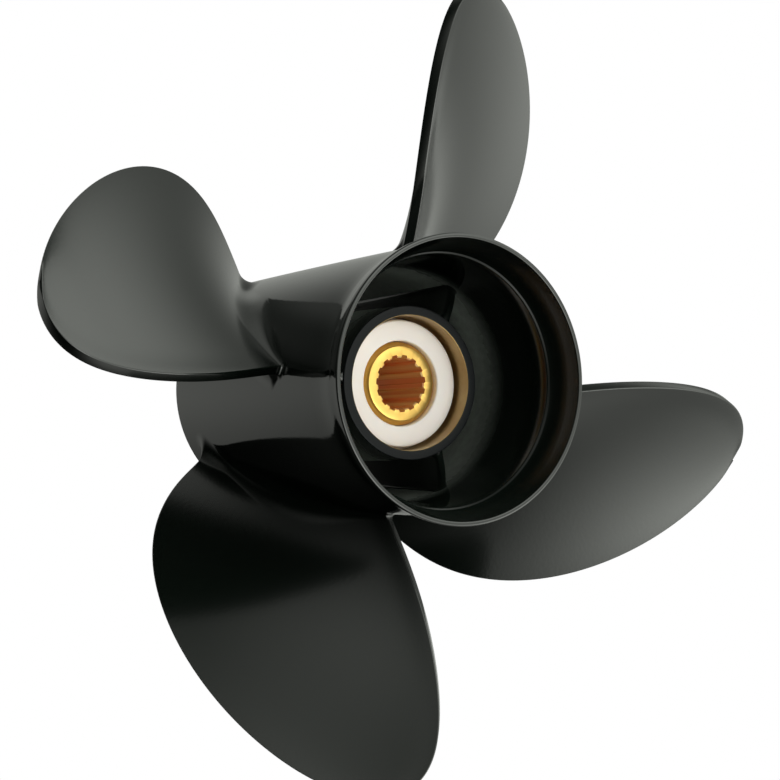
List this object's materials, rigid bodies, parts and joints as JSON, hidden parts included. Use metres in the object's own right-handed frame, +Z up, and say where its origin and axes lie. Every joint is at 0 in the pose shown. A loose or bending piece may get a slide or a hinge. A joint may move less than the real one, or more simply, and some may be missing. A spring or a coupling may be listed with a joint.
{
  "type": "outboard boat propeller",
  "caption": "Right-hand outboard boat propeller of painted cast aluminium, with through-hub exhaust, flared rear ring, cushioned hub and splined brass sleeve.",
  "frame": {"origin": "on the propeller's axis, at the forward thrust face of the splined brass sleeve", "axes": "+Y forward along the axis, from the flared rear ring to the barrel's front end; +Z up; +X to the right as seen from behind. Seen from behind the blades turn clockwise to drive forward"},
  "size_m": [0.3534, 0.1706, 0.3534],
  "materials": {
    "barrel_paint": "gloss black enamel over cast aluminium",
    "blade_paint": "gloss black enamel over cast aluminium",
    "tube_paint": "thinner black enamel inside the hub",
    "cushion_ivory": "moulded ivory bushing",
    "sleeve_brass": "machined brass"
  },
  "bodies": {
    "root": {"hub_barrel": "barrel_paint", "flare_ring": "barrel_paint", "inner_tube": "tube_paint", "rib_1": "tube_paint", "rib_2": "tube_paint", "rib_3": "tube_paint", "blade_1": "blade_paint", "blade_2": "blade_paint", "blade_3": "blade_paint", "blade_4": "blade_paint", "cushion_bushing": "cushion_ivory", "spline_sleeve": "sleeve_brass"}
  },
  "joints": []
}
